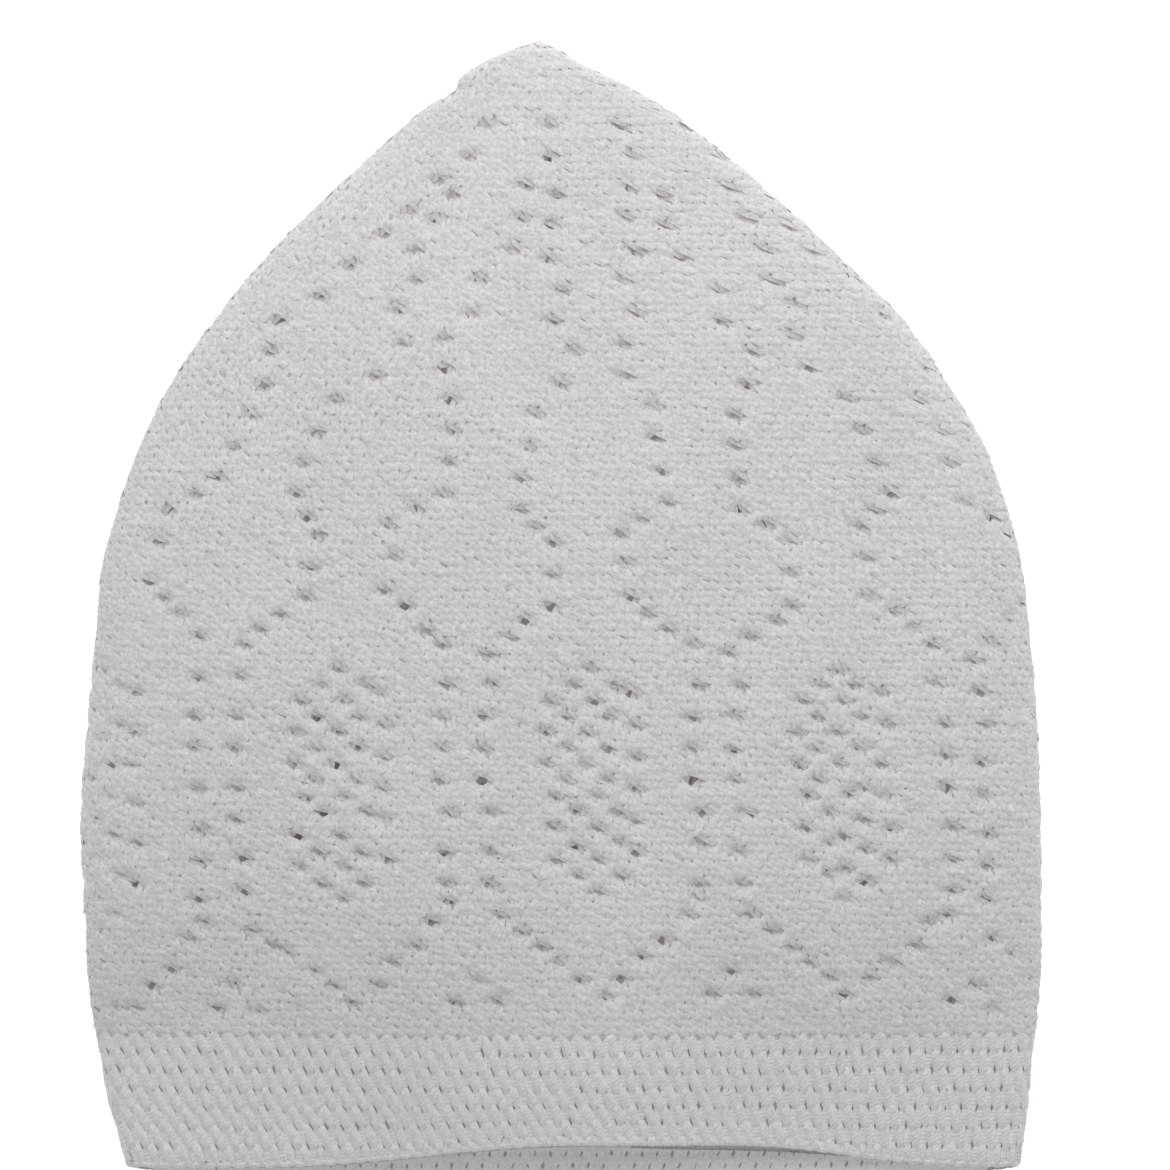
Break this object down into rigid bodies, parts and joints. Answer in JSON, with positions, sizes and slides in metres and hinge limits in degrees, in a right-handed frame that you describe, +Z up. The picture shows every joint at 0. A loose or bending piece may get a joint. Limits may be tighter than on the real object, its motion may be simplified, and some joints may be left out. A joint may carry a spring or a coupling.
{
  "type": "crocheted prayer cap",
  "caption": "Soft crocheted lace cap, lying flat: a pointed hollow crown with eyelets and a thicker band round its open mouth, worn pulled over the head.",
  "frame": {"origin": "middle of the cap's outline, on the surface that it lies on", "axes": "+Y from the mouth to the tip, +Z up out of the upper layer, +X to the right"},
  "size_m": [0.1902, 0.2272, 0.0207],
  "materials": {
    "crown_yarn": "matt crocheted cotton lace",
    "band_yarn": "matt chunky crocheted cotton"
  },
  "bodies": {
    "root": {"crown": "crown_yarn", "rim_band": "band_yarn"}
  },
  "joints": []
}
